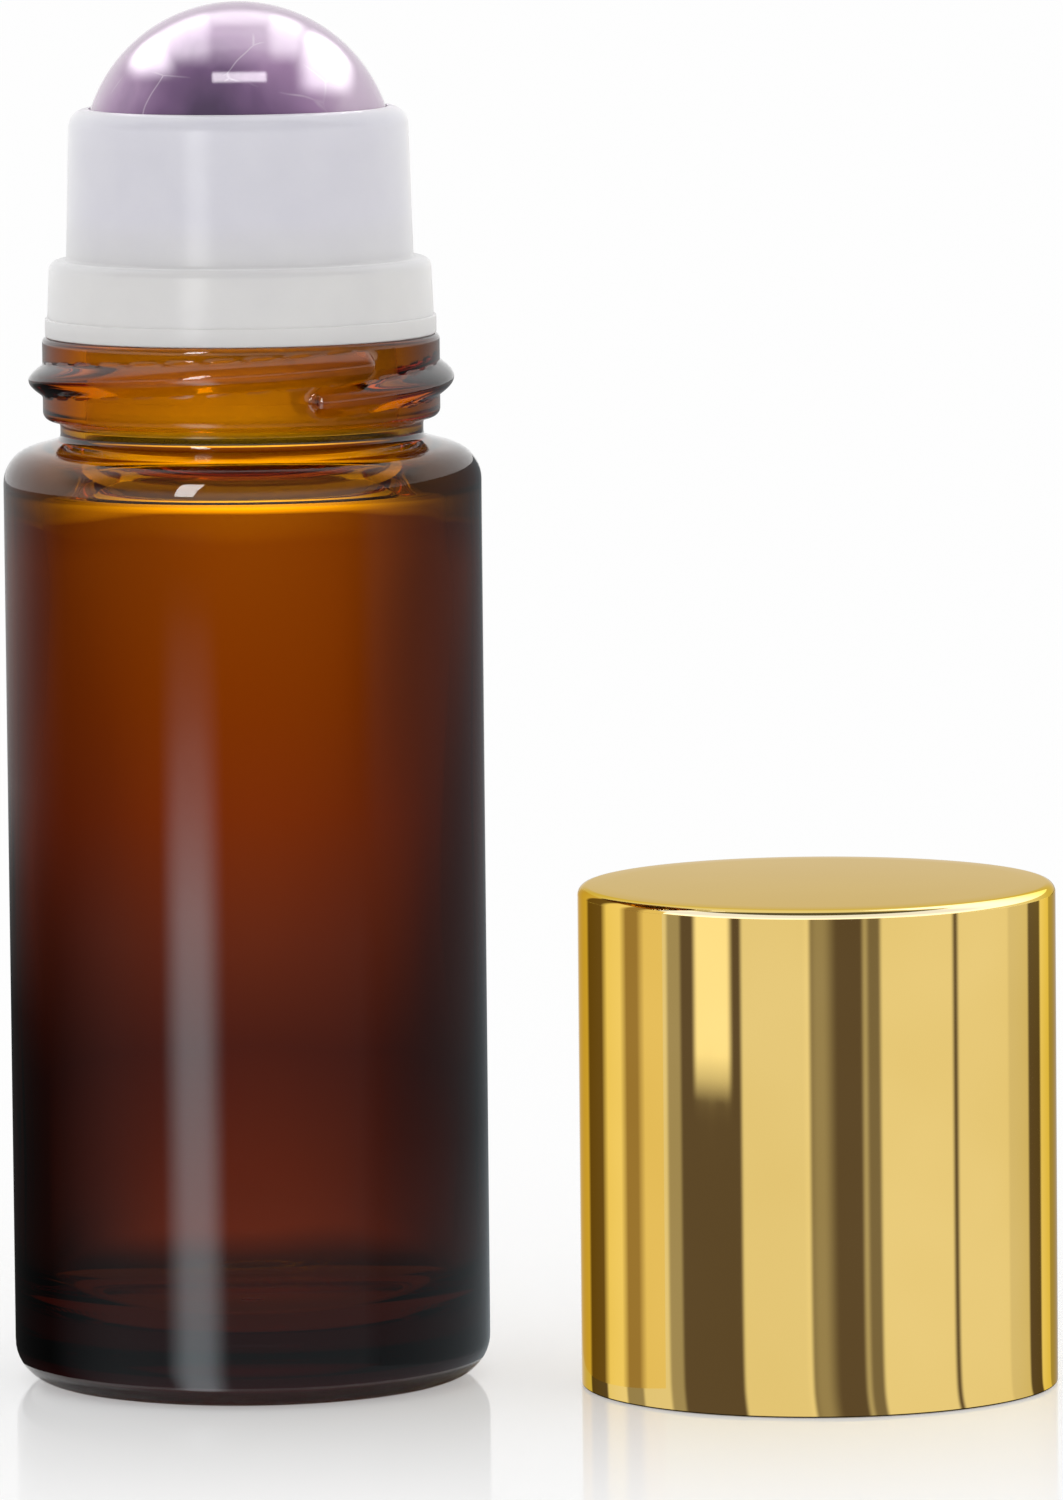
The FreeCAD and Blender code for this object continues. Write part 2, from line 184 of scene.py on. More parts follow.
def run_between(start, finish, corner):
    """Points between two ends of a side, which is straight or an arc about the axis."""
    parts = max(1, math.ceil(np.linalg.norm(finish - start) / corner.step))
    shares = np.linspace(0, 1, parts + 1)[1:-1]
    if not corner.domed:
        return [start + (finish - start) * share for share in shares]
    middle = np.array([0, (finish @ finish - start @ start) / 2 / (finish[1] - start[1])])
    reach = np.linalg.norm(start - middle)
    angles = [math.atan2(*(end - middle)[::-1]) for end in (start, finish)]
    turns = [angles[0] + (angles[1] - angles[0]) * share for share in shares]
    return [middle + reach * np.array([math.cos(turn), math.sin(turn)]) for turn in turns]


def trace(corners, closed=False):
    """Rows of (radius, height) along an outline, with its roundings."""
    spots = [np.array([corner.across, corner.up], float) for corner in corners]
    count = len(spots)
    bends = [
        bend_at(spots[here - 1], spots[here], spots[(here + 1) % count], corner.rounding)
        if corner.rounding
        else [spots[here]]
        for here, corner in enumerate(corners)
    ]
    rows = []
    for here, corner in enumerate(corners):
        rows += bends[here]
        if closed or here + 1 < count:
            rows += run_between(bends[here][-1], bends[(here + 1) % count][0], corner)
    return np.array(rows)


def spin(rows, closed=False, shape=None):
    """Turns an outline about the upright axis, and closes ends that lie on it. The function shape may move
    each point by its angle."""
    angles = np.linspace(0, 2 * math.pi, STEPS_ROUND, endpoint=False)
    radius, height = [np.repeat(rows[:, place : place + 1], STEPS_ROUND, 1) for place in (0, 1)]
    if shape:
        radius, height = shape(radius, height, np.broadcast_to(angles, radius.shape))
    points = np.stack([radius * np.cos(angles), radius * np.sin(angles), height], -1)
    ids = np.zeros(radius.shape, int)
    corners = []
    for row, on_axis in enumerate(rows[:, 0] < ON_AXIS):
        ids[row] = len(corners) + (0 if on_axis else np.arange(STEPS_ROUND))
        corners += [points[row, 0]] if on_axis else list(points[row])
    faces = []
    for row in range(len(rows) if closed else len(rows) - 1):
        lower, upper = ids[row], ids[(row + 1) % len(rows)]
        for here in range(STEPS_ROUND):
            after = (here + 1) % STEPS_ROUND
            face = (lower[here], lower[after], upper[after], upper[here])
            faces.append(list(dict.fromkeys(int(corner) for corner in face)))
    return np.array(corners), faces


def make_object(name, points, faces, material, place=(0, 0, 0)):
    mesh = bpy.data.meshes.new(name)
    mesh.from_pydata(np.asarray(points) * MM, [], faces)
    mesh.shade_smooth()
    mesh.set_sharp_from_angle(angle=SHARP_EDGE)
    mesh.materials.append(material)
    made = bpy.data.objects.new(name, mesh)
    made.location = Vector(place) * MM
    bpy.context.scene.collection.objects.link(made)
    return made


def fade(value, low, high):
    """Rises smoothly from 0 at low to 1 at high."""
    share = np.clip((value - low) / (high - low), 0, 1)
    return share * share * (3 - 2 * share)


def between(value, low, high, soft):
    """1 from low to high and 0 outside, with soft edges."""
    return fade(value, low - soft, low + soft) * fade(-value, -high - soft, soft - high)


def thread_bump(angle, height, foot, first, sweep, half_width, radius):
    """Height of a thread with several starts, from 0 to 1, with round ends, on the unrolled wall."""
    bump = np.zeros_like(height)
    for start in range(THREAD_STARTS):
        along = (np.degrees(angle) - first - start * 360 / THREAD_STARTS) % 360
        for turned in (along, along - 360):
            nearest = np.clip(turned, 0, sweep)
            up = height - foot - THREAD_LEAD * nearest / 360
            past = np.radians(turned - nearest) * radius
            away = np.clip(np.hypot(up, past) / half_width, 0, 1)
            bump = np.maximum(bump, np.cos(away * math.pi / 2))
    return bump


# Materials


class Paint:
    """A material with a Principled shader, and short ways to add nodes to it."""

    def __init__(self, name, **constants):
        self.material = bpy.data.materials.new(name)
        self.material.use_nodes = True
        self.tree = self.material.node_tree
        self.shader = self.tree.nodes["Principled BSDF"]
        self.output = self.tree.nodes["Material Output"]
        self.where = self.node("ShaderNodeTexCoord").outputs["Object"]
        for socket, value in constants.items():
            self.shader.inputs[socket.replace("_", " ")].default_value = value

    def node(self, kind, inputs=None, **settings):
        made = self.tree.nodes.new(kind)
        for setting, value in settings.items():
            setattr(made, setting, value)
        for socket, value in (inputs or {}).items():
            self.set(made.inputs[socket], value)
        return made

    def set(self, socket, value):
        if isinstance(value, bpy.types.NodeSocket):
            self.tree.links.new(value, socket)
        else:
            socket.default_value = value

    def feed(self, socket, value):
        self.set(self.shader.inputs[socket], value)

    def distance(self, spot):
        """How far, in metres, from a spot that is given in millimetres."""
        inputs = {0: self.where, 1: Vector(spot) * MM}
        return self.node("ShaderNodeVectorMath", inputs, operation="DISTANCE").outputs["Value"]

    def stretched(self, scale):
        return self.node("ShaderNodeMapping", {"Vector": self.where, "Scale": scale}).outputs["Vector"]

    def noise(self, scale, detail=3.0, where=None, distortion=0.0):
        inputs = {"Scale": scale, "Detail": detail, "Distortion": distortion}
        inputs["Vector"] = where or self.where
        return self.node("ShaderNodeTexNoise", inputs).outputs["Fac"]

    def warped(self, scale, reach):
        """Where a point is, after it has wandered off by up to about reach."""
        colour = self.node("ShaderNodeTexNoise", {"Vector": self.where, "Scale": scale}).outputs["Color"]
        inputs = {0: colour, "Scale": reach * MM}
        offset = self.node("ShaderNodeVectorMath", inputs, operation="SCALE").outputs["Vector"]
        inputs = {0: self.where, 1: offset}
        return self.node("ShaderNodeVectorMath", inputs, operation="ADD").outputs["Vector"]

    def span(self, value, low, high, start=0.0, finish=1.0):
        inputs = {"Value": value, "From Min": start, "From Max": finish, "To Min": low, "To Max": high}
        return self.node("ShaderNodeMapRange", inputs).outputs["Result"]

    def math(self, operation, one, other):
        return self.node("ShaderNodeMath", {0: one, 1: other}, operation=operation).outputs["Value"]

    def ramp(self, value, *stops):
        made = self.node("ShaderNodeValToRGB", {"Fac": value})
        elements = made.color_ramp.elements
        while len(elements) < len(stops):
            elements.new(1.0)
        for element, (place, colour) in zip(elements, stops):
            element.position = place
            element.color = (*colour, 1.0)
        return made.outputs["Color"]

    def blend(self, share, one, other):
        inputs = {"Factor": share, "A": one, "B": other}
        return self.node("ShaderNodeMix", inputs, data_type="RGBA").outputs["Result"]

    def layer(self, share, under, over):
        """Mixes two shaders."""
        inputs = {"Fac": share, 1: under, 2: over}
        return self.node("ShaderNodeMixShader", inputs).outputs["Shader"]

    def bump(self, height, depth):
        inputs = {"Height": height, "Distance": depth * MM, "Strength": 1.0}
        self.feed("Normal", self.node("ShaderNodeBump", inputs).outputs["Normal"])


# What the glass lets through, and how strongly it takes up the rest, per metre
AMBER = (0.9735, 0.8824, 0.0588, 1)
AMBER_DENSITY = 1700.0


def paint_amber_glass():
    paint = Paint("amber_glass", Transmission_Weight=1.0, IOR=1.52, Base_Color=(1, 1, 1, 1))
    smudges = paint.noise(scale=90.0)
    paint.feed("Roughness", paint.span(smudges, low=0.0, high=0.02, start=0.45, finish=0.75))
    waves = paint.noise(scale=1.0, detail=2.0, where=paint.stretched((140.0, 140.0, 30.0)))
    paint.bump(waves, depth=0.03)
    absorption = paint.node("ShaderNodeVolumeAbsorption", {"Color": AMBER, "Density": AMBER_DENSITY})
    paint.set(paint.output.inputs["Volume"], absorption.outputs["Volume"])
    return paint.material


# The plastic's cloudy tones at the band, and its painted shade over the ball, a lavender tint for the ball
# seen through the wall, and how far above the ledge the latter starts and is full
PLASTIC_AT_BAND = ((0.3, (0.86, 0.85, 0.85)), (0.7, (0.90, 0.89, 0.88)))
PLASTIC_PAINTED_BALL_SHADE = ((0.3, (0.84, 0.83, 0.91)), (0.7, (0.88, 0.87, 0.94)))
BALL_SHADE_START = -1.0
BALL_SHADE_FULL = 4.0


def paint_natural_plastic():
    paint = Paint(
        "natural_plastic",
        IOR=1.49,
        Specular_IOR_Level=0.9,
        Transmission_Weight=0.3,
        Sheen_Weight=1.0,
        Sheen_Roughness=0.4,
    )
    clouds = paint.noise(scale=220.0, detail=4.0)
    at_band = paint.ramp(clouds, *PLASTIC_AT_BAND)
    painted_ball_shade = paint.ramp(clouds, *PLASTIC_PAINTED_BALL_SHADE)
    height = paint.node("ShaderNodeSeparateXYZ", {"Vector": paint.where}).outputs["Z"]
    ledge = mouth - RING_HEIGHT
    start, full = [(ledge + above) * MM for above in (BALL_SHADE_START, BALL_SHADE_FULL)]
    # Painted shade: the plastic turns lavender at the height of the ball behind it
    ball_shade_share = paint.span(height, low=0.0, high=1.0, start=start, finish=full)
    paint.feed("Base Color", paint.blend(ball_shade_share, at_band, painted_ball_shade))
    grain = paint.noise(scale=600.0)
    paint.feed("Roughness", paint.span(grain, low=0.18, high=0.24, start=0.3, finish=0.7))
    flow = paint.noise(scale=1.0, detail=2.0, where=paint.stretched((90.0, 90.0, 30.0)))
    paint.bump(flow, depth=0.02)
    return paint.material


# Where the stone is darkest, a spot near the ball's front face given from its middle, how far out from it
# the colour turns pale, and the colours on the way
STONE_DARK_SPOT = (-1.5, -10.5, 2.0)
STONE_DARK_SPOT_REACH = 12.4
STONE_COLOURS = (
    (0.2, (0.12, 0.08, 0.15)),
    (0.45, (0.25, 0.15, 0.29)),
    (0.7, (0.53, 0.335, 0.56)),
    (0.95, (0.80, 0.62, 0.80)),
)
CRACK_COLOUR = (0.92, 0.82, 0.92, 1)


def paint_lilac_stone():
    paint = Paint("lilac_stone", Transmission_Weight=0.4, IOR=1.54)
    away = paint.distance(STONE_DARK_SPOT)
    # Darkest at a spot near the ball's front face, paler outwards
    from_dark_spot = paint.span(away, low=0.0, high=1.0, start=0.0, finish=STONE_DARK_SPOT_REACH * MM)
    clouds = paint.noise(scale=110.0, distortion=0.8)
    uneven = paint.span(clouds, low=-0.12, high=0.12, start=0.3, finish=0.7)
    colour = paint.ramp(paint.math("ADD", from_dark_spot, uneven), *STONE_COLOURS)
    inputs = {"Vector": paint.warped(scale=140.0, reach=2.0), "Scale": 130.0}
    edge = paint.node("ShaderNodeTexVoronoi", inputs, feature="DISTANCE_TO_EDGE").outputs["Distance"]
    line = paint.span(edge, low=1.0, high=0.0, start=0.0, finish=0.014)
    patches = paint.span(paint.noise(scale=170.0), low=0.0, high=0.5, start=0.5, finish=0.6)
    crack = paint.math("MULTIPLY", line, patches)
    paint.feed("Base Color", paint.blend(crack, colour, CRACK_COLOUR))
    polish = paint.noise(scale=900.0)
    paint.feed("Roughness", paint.span(polish, low=0.0, high=0.05, start=0.4, finish=0.7))
    return paint.material


VEIL_COLOURS = ((0.3, (0.80, 0.66, 0.82)), (0.7, (0.97, 0.93, 0.97)))


def paint_veil():
    paint = Paint("stone_veil", Roughness=0.25, IOR=1.3)
    streaks = paint.noise(scale=700.0, detail=5.0, where=paint.stretched((1.0, 1.0, 0.3)))
    paint.feed("Base Color", paint.ramp(streaks, *VEIL_COLOURS))
    paint.feed("Alpha", paint.span(streaks, low=0.05, high=0.6, start=0.35, finish=0.7))
    return paint.material


GOLD_COLOURS = ((0.3, (0.80, 0.59, 0.18)), (0.7, (0.84, 0.63, 0.21)))
GOLD_EDGE = (0.70, 0.56, 0.24, 1)


def paint_gold_aluminium():
    paint = Paint("gold_aluminium", Metallic=1.0, Specular_Tint=GOLD_EDGE)
    tone = paint.noise(scale=60.0, detail=2.0)
    paint.feed("Base Color", paint.ramp(tone, *GOLD_COLOURS))
    lines = paint.noise(scale=1.0, where=paint.stretched((900.0, 900.0, 40.0)))
    paint.feed("Roughness", paint.span(lines, low=0.02, high=0.045, start=0.35, finish=0.65))
    paint.bump(lines, depth=0.0004)
    return paint.material


INSERT_COLOURS = ((0.3, (0.82, 0.82, 0.81)), (0.7, (0.88, 0.88, 0.87)))


def paint_white_plastic():
    paint = Paint("white_plastic", Subsurface_Weight=0.2, Subsurface_Scale=1.0 * MM, IOR=1.49)
    flow = paint.noise(scale=1.0, where=paint.stretched((160.0, 160.0, 30.0)))
    paint.feed("Base Color", paint.ramp(flow, *INSERT_COLOURS))
    grain = paint.noise(scale=3000.0, detail=2.0)
    paint.feed("Roughness", paint.span(grain, low=0.35, high=0.5, start=0.3, finish=0.7))
    paint.bump(grain, depth=0.01)
    return paint.material


FOAM_COLOURS = ((0.1, (0.74, 0.75, 0.76)), (0.6, (0.86, 0.86, 0.86)))


def paint_liner_foam():
    paint = Paint("liner_foam", Roughness=0.7)
    inputs = {"Vector": paint.where, "Scale": 2200.0}
    cells = paint.node("ShaderNodeTexVoronoi", inputs).outputs["Distance"]
    paint.feed("Base Color", paint.ramp(cells, *FOAM_COLOURS))
    paint.bump(cells, depth=0.08)
    return paint.material


# Pieces of the object

finish_foot = SHOULDER_HEIGHT + SHOULDER_RISE + RELIEF_HEIGHT
relief_radius = NECK_BORE + NECK_WALL
finish_radius = relief_radius + FINISH_STEP
chamber_radius = body_radius - BODY_WALL
punt_radius = body_radius - HEEL_ROUND - BEARING_WIDTH
glass_top = rim - SEAT_GAP
shoulder_slope = SHOULDER_RISE / (body_radius - relief_radius)
chamber_top = SHOULDER_HEIGHT + BODY_WALL * shoulder_slope - SHOULDER_WALL
throat = chamber_top + (chamber_radius - NECK_BORE) * shoulder_slope
thread_foot = rim - THREAD_DROP - THREAD_LEAD * THREAD_SWEEP / 360

# How uneven the inner wall is, and its waves: how many round, how slowly they turn, and where they start
WALL_WAVE = 0.05
WALL_WAVES = ((5, 9, 0), (8, -6, 1), (3, 14, 2))
THREAD_RUN_OUT = 0.6
SEAM_HEIGHT = 0.03
SEAM_HALF_WIDTH = 0.3
KNURL_COUNT = 80
KNURL_DEPTH = 0.12
KNURL_INSET = 0.3


def shape_glass(radius, height, angle):
    """Raises the thread and the mould seams, and makes the inner wall and the base uneven."""
    outside = radius > relief_radius - SEAT_GAP
    on_finish = (radius > finish_radius - FINISH_ROUND) & (height > finish_foot)
    first = THREAD_END - THREAD_SWEEP
    thread = thread_bump(angle, height, thread_foot, first, THREAD_SWEEP, THREAD_HALF_WIDTH, finish_radius)
    risen = thread * on_finish * fade(glass_top - height, 0.0, THREAD_RUN_OUT) * THREAD_DEPTH

    on_body = outside & (height > HEEL_ROUND) & (height < SHOULDER_HEIGHT - SHOULDER_ROUND)
    from_seam = np.abs((angle + math.pi / 2) % math.pi - math.pi / 2) * radius
    seam = SEAM_HEIGHT * fade(-from_seam, -SEAM_HALF_WIDTH, 0.0) * on_body
    sunk = SEAM_HEIGHT * on_body

    on_inside = fade(height, FLOOR_HEIGHT + FLOOR_ROUND, FLOOR_HEIGHT + 3 * FLOOR_ROUND)
    on_inside = on_inside * fade(-height, -chamber_top + CHAMBER_ROUND, -chamber_top + 3 * CHAMBER_ROUND)
    wave = sum(np.sin(count * angle + height / rise + start) for count, rise, start in WALL_WAVES)
    inner = WALL_WAVE * wave * on_inside * (np.abs(radius - chamber_radius) < SEAT_GAP)

    bearing_edge = punt_radius + BEARING_WIDTH
    on_bearing = fade(radius, punt_radius + KNURL_INSET, punt_radius + 2 * KNURL_INSET)
    on_bearing = on_bearing * fade(-radius, KNURL_INSET - bearing_edge, 2 * KNURL_INSET - bearing_edge)
    knurl = KNURL_DEPTH * (0.5 - 0.5 * np.cos(KNURL_COUNT * angle)) * on_bearing * (height < SEAT_GAP)
    return radius + risen + seam - sunk + inner, height + knurl


def make_glass_bottle():
    outline = [
        Corner(0, PUNT_HEIGHT, domed=True, step=1.0),
        Corner(punt_radius, 0, step=0.15),
        Corner(body_radius, 0, HEEL_ROUND, step=2.5),
        Corner(body_radius, SHOULDER_HEIGHT, SHOULDER_ROUND),
        Corner(relief_radius, SHOULDER_HEIGHT + SHOULDER_RISE, RELIEF_ROUND),
        Corner(relief_radius, finish_foot, RELIEF_ROUND),
        Corner(finish_radius, finish_foot, FINISH_ROUND, step=0.17),
        Corner(finish_radius, glass_top, RIM_ROUND),
        Corner(NECK_BORE, glass_top, RIM_ROUND),
        Corner(NECK_BORE, throat, THROAT_ROUND),
        Corner(chamber_radius, chamber_top, CHAMBER_ROUND),
        Corner(chamber_radius, FLOOR_HEIGHT, FLOOR_ROUND),
        Corner(0, FLOOR_HEIGHT),
    ]
    points, faces = spin(trace(outline), shape=shape_glass)
    piece = make_object("bottle_glass", points, faces, paint_amber_glass())
    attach(piece, "bottle")
    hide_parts("glass_bottle")
    return piece


def shape_slots(radius, height, angle):
    """Opens the feed slots in the edge of the seat under the ball."""
    pitch = 2 * math.pi / SLOT_COUNT
    from_slot = np.abs((angle + pitch / 2) % pitch - pitch / 2) * FEED_RADIUS
    in_slot = (radius < FEED_RADIUS + SEAT_GAP) & (from_slot < SLOT_WIDTH / 2)
    return radius + SLOT_LENGTH * in_slot, height + SLOT_LENGTH * in_slot


def make_ball_housing():
    socket_radius = ball_radius + BALL_CLEARANCE
    ring_top_radius = socket_radius + RING_WALL
    band_foot_radius = foot_radius - FOOT_STEP
    band_top_radius = band_foot_radius - BAND_DRAFT
    plug_bore = PLUG_RADIUS - PLUG_WALL
    ledge = mouth - RING_HEIGHT
    mouth_radius = math.sqrt(socket_radius**2 - LIP_HEIGHT**2)
    cone_tip = ball_height - socket_radius * math.sqrt(2)
    seat_drop = SEAT_WALL * math.sqrt(2)
    rib_radius = NECK_BORE - SEAT_GAP
    ribs = []
    for place in range(RIB_COUNT, 0, -1):
        top = rim - RIB_SPACING * place
        ribs += [
            Corner(PLUG_RADIUS, top - RIB_HEIGHT),
            Corner(rib_radius, top - RIB_HEIGHT),
            Corner(rib_radius, top),
            Corner(PLUG_RADIUS, top),
        ]
    outline = [
        Corner(plug_bore, plug_foot),
        Corner(PLUG_RADIUS - PLUG_LEAD / 2, plug_foot),
        Corner(PLUG_RADIUS, plug_foot + PLUG_LEAD),
        *ribs,
        Corner(PLUG_RADIUS, ledge - LEDGE_WALL),
        Corner(band_top_radius - BAND_WALL, ledge - LEDGE_WALL),
        Corner(band_top_radius - BAND_WALL, rim, FOOT_ROUND),
        Corner(foot_radius, rim, FOOT_ROUND),
        Corner(foot_radius, rim + FOOT_HEIGHT, FOOT_ROUND / 2),
        Corner(band_foot_radius, rim + FOOT_HEIGHT),
        Corner(band_top_radius, ledge, LEDGE_ROUND),
        Corner(ring_top_radius + RING_DRAFT, ledge, LIP_ROUND),
        Corner(ring_top_radius, mouth, RING_ROUND),
        Corner(mouth_radius, mouth, domed=True, step=0.5),
        Corner(socket_radius, ball_height),
        Corner(socket_radius, cone_tip + socket_radius),
        Corner(FEED_RADIUS, cone_tip + FEED_RADIUS),
        Corner(FEED_RADIUS, cone_tip + FEED_RADIUS - seat_drop),
        Corner(plug_bore, cone_tip + plug_bore - seat_drop),
    ]
    points, faces = spin(trace(outline, closed=True), closed=True, shape=shape_slots)
    piece = make_object("housing_plastic", points, faces, paint_natural_plastic())
    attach(piece, "bottle")
    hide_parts("ball_housing")
    return piece


BALL_ROWS = 160
VEIL_COUNT = 7
VEIL_SEED = 4
VEIL_THICKNESS = 0.06
VEIL_STEPS = 14
# Ranges for each veil: its radius, the lobes of its edge, its curl, its turn in radians, and its place
VEIL_REACH = (2.5, 5.0)
VEIL_LOBES = (2, 5)
VEIL_LOBE_DEPTH = 0.25
VEIL_CURL = (0.02, 0.05)
VEIL_TURN = (-1.2, 1.2)
VEIL_PLACE = ((-7, 7), (-6, 6), (2, 7))
# How deep under the ball's surface the veils end
VEIL_DEPTH = 0.6


def make_roller_ball():
    angles = np.linspace(-math.pi / 2, math.pi / 2, BALL_ROWS + 1)
    rows = ball_radius * np.stack([np.cos(angles), np.sin(angles)], -1)
    rows[[0, -1], 0] = 0.0
    points, faces = spin(rows)
    piece = make_object("ball_stone", points, faces, paint_lilac_stone(), (0, 0, ball_height))
    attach(piece, "ball")
    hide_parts("roller_ball")
    return piece


def kept_inside(points, away, limit):
    """Moves points that lie about the origin as far along away as a sphere of radius limit allows."""
    length = away @ away
    along = points @ away
    room = limit**2 - np.sum(points**2, axis=1)
    farthest = (np.sqrt(along**2 + length * room) - along) / length
    return points + away * min(1.0, farthest.min())


def make_ball_veils():
    """Thin wavy sheets inside the stone, each a closed lens."""
    random = np.random.default_rng(VEIL_SEED)
    all_points, all_faces = [], []
    for _ in range(VEIL_COUNT):
        reach = random.uniform(*VEIL_REACH)
        shares = np.linspace(0, 1, VEIL_STEPS)
        under = [(reach * share, -VEIL_THICKNESS * (1 - share**4)) for share in shares]
        over = [(reach * share, VEIL_THICKNESS * (1 - share**4)) for share in shares[-2::-1]]
        phase = random.uniform(0, 2 * math.pi)
        lobes = random.integers(*VEIL_LOBES)
        curl = random.uniform(*VEIL_CURL)

        def shape_veil(radius, height, angle):
            grown = radius * (1 + VEIL_LOBE_DEPTH * np.sin(lobes * angle + phase))
            return grown, height + curl * grown**2 * np.cos(2 * angle + phase)

        points, faces = spin(np.array(under + over), shape=shape_veil)
        turn = Euler(random.uniform(*VEIL_TURN, 3)).to_matrix()
        away = np.array([random.uniform(*limits) for limits in VEIL_PLACE])
        offset = len(np.concatenate(all_points)) if all_points else 0
        all_points.append(kept_inside(points @ np.array(turn).T, away, ball_radius - VEIL_DEPTH))
        all_faces += [[corner + offset for corner in face] for face in faces]
    points = np.concatenate(all_points)
    piece = make_object("ball_veils", points, all_faces, paint_veil(), (0, 0, ball_height))
    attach(piece, "ball")
    return piece


cap_place = (cap_centre.x, cap_centre.y, 0)


def shape_crown(radius, height, angle):
    """Crowns the top of the cap a little."""
    on_top = height > cap_height - SHELL_ROUND
    return radius, height - SHELL_CROWN * on_top * (radius / cap_radius) ** 2


def make_cap_shell():
    bore = cap_radius - SHELL_WALL
    outline = [
        Corner(0, insert_top),
        Corner(bore, insert_top, SHELL_WALL),
        Corner(bore, 0, HEM_ROUND),
        Corner(cap_radius, 0, HEM_ROUND),
        Corner(cap_radius, cap_height, SHELL_ROUND),
        Corner(0, cap_height),
    ]
    points, faces = spin(trace(outline), shape=shape_crown)
    piece = make_object("cap_gold", points, faces, paint_gold_aluminium(), cap_place)
    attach(piece, "cap")
    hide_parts("cap_shell")
    return piece


def shape_grip(radius, height, angle):
    """Raises the cap's thread inwards from the bore."""
    on_bore = np.abs(radius - CAP_BORE) < SEAT_GAP
    grip = thread_bump(angle, height, GRIP_FOOT, THREAD_END, GRIP_SWEEP, GRIP_HALF_WIDTH, CAP_BORE)
    return radius - THREAD_DEPTH * grip * on_bore, height


def make_cap_insert():
    ceiling = insert_top - INSERT_CEILING
    holder = liner_radius + HOLDER_CLEARANCE
    catch = liner_foot - HOLDER_CLEARANCE
    top = insert_top - SEAT_GAP
    thread_top = GRIP_FOOT + THREAD_LEAD * GRIP_SWEEP / 360 + GRIP_HALF_WIDTH
    outline = [
        Corner(0, ceiling),
        Corner(holder, ceiling),
        Corner(holder, catch),
        Corner(holder - HOLDER_BEAD, catch - HOLDER_BEAD),
        Corner(holder, catch - 2 * HOLDER_BEAD),
        Corner(holder + HOLDER_WALL, catch - 2 * HOLDER_BEAD, HOLDER_BEAD / 2),
        Corner(holder + HOLDER_WALL, ceiling),
        Corner(CAP_BORE, ceiling, INSERT_ROUND),
        Corner(CAP_BORE, thread_top, step=0.15),
        Corner(CAP_BORE, insert_foot + INSERT_LEAD),
        Corner(CAP_BORE + INSERT_LEAD, insert_foot),
        Corner(insert_radius, insert_foot),
        Corner(insert_radius, top, INSERT_ROUND),
        Corner(0, top),
    ]
    points, faces = spin(trace(outline), shape=shape_grip)
    piece = make_object("cap_threaded_insert", points, faces, paint_white_plastic(), cap_place)
    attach(piece, "cap")
    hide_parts("cap_insert")
    return piece


def make_cap_liner():
    outline = [
        Corner(0, liner_foot),
        Corner(liner_radius, liner_foot, LINER_ROUND),
        Corner(liner_radius, liner_top, LINER_ROUND),
        Corner(0, liner_top),
    ]
    points, faces = spin(trace(outline))
    piece = make_object("cap_foam_liner", points, faces, paint_liner_foam(), cap_place)
    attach(piece, "liner")
    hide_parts("cap_liner")
    return piece


# Camera, as it stood for the photograph
EYE = (0.0, -1004.6, 157.4)
PITCH, YAW, ROLL = (math.radians(angle) for angle in (6.026, 1.332, -0.562))
FOCAL_LENGTH = 296.39
SENSOR = 36.0
SIGHT_REACH = 100000.0

# Stage: a white floor, and cards that only mirrored or refracted rays see

FLOOR_REACH = 8000.0
FLOOR_LEVEL = -0.05
SLEEVE_LEVEL = -0.03
MAT_LEVEL = 0.04
BOTTLE_RING_LEVEL = 0.08
CAP_RING_LEVEL = 0.12
FLOOR_COLOUR = (0.98, 0.98, 0.98, 1)
WHITE = (1, 1, 1, 1)
# How much of the floor is plain white to the camera, which takes as much off the shadow
FLOOR_WHITE = 0.5
MIRROR_SHARE = 0.27
MIRROR_REACH = 60.0
MIRROR_ROUGHNESS = 0.05
# How far from face on, from 0 to 1, a card counts as seen edge on
EDGE_ON = 0.88
AZIMUTHS = np.arange(180, -180, -1)
NEUTRAL = np.ones(3)


def paint_floor():
    """White, and mirroring a little close to the bottle and the cap."""
    paint = Paint("floor", Base_Color=FLOOR_COLOUR, Roughness=1.0, Specular_IOR_Level=0.0)
    shares = []
    for centre, near in (((0, 0, 0), body_radius), (cap_place, cap_radius)):
        ends = {"start": near * MM, "finish": (near + MIRROR_REACH) * MM}
        shares.append(paint.span(paint.distance(centre), low=MIRROR_SHARE, high=0.0, **ends))
    white = paint.node("ShaderNodeEmission", {"Color": WHITE, "Strength": 1.0}).outputs["Emission"]
    seen = paint.node("ShaderNodeLightPath").outputs["Is Camera Ray"]
    lit = paint.layer(paint.math("MULTIPLY", seen, FLOOR_WHITE), paint.shader.outputs["BSDF"], white)
    inputs = {"Color": WHITE, "Roughness": MIRROR_ROUGHNESS}
    mirror = paint.node("ShaderNodeBsdfGlossy", inputs).outputs["BSDF"]
    surface = paint.layer(paint.math("MAXIMUM", *shares), lit, mirror)
    paint.set(paint.output.inputs["Surface"], surface)
    paint.material.cycles.emission_sampling = "NONE"
    return paint.material


def make_floor():
    reach = FLOOR_REACH
    corners = [(-reach, -reach, 0), (reach, -reach, 0), (reach, reach, 0), (-reach, reach, 0)]
    make_object("floor", corners, [[0, 1, 2, 3]], paint_floor(), (0, 0, FLOOR_LEVEL))


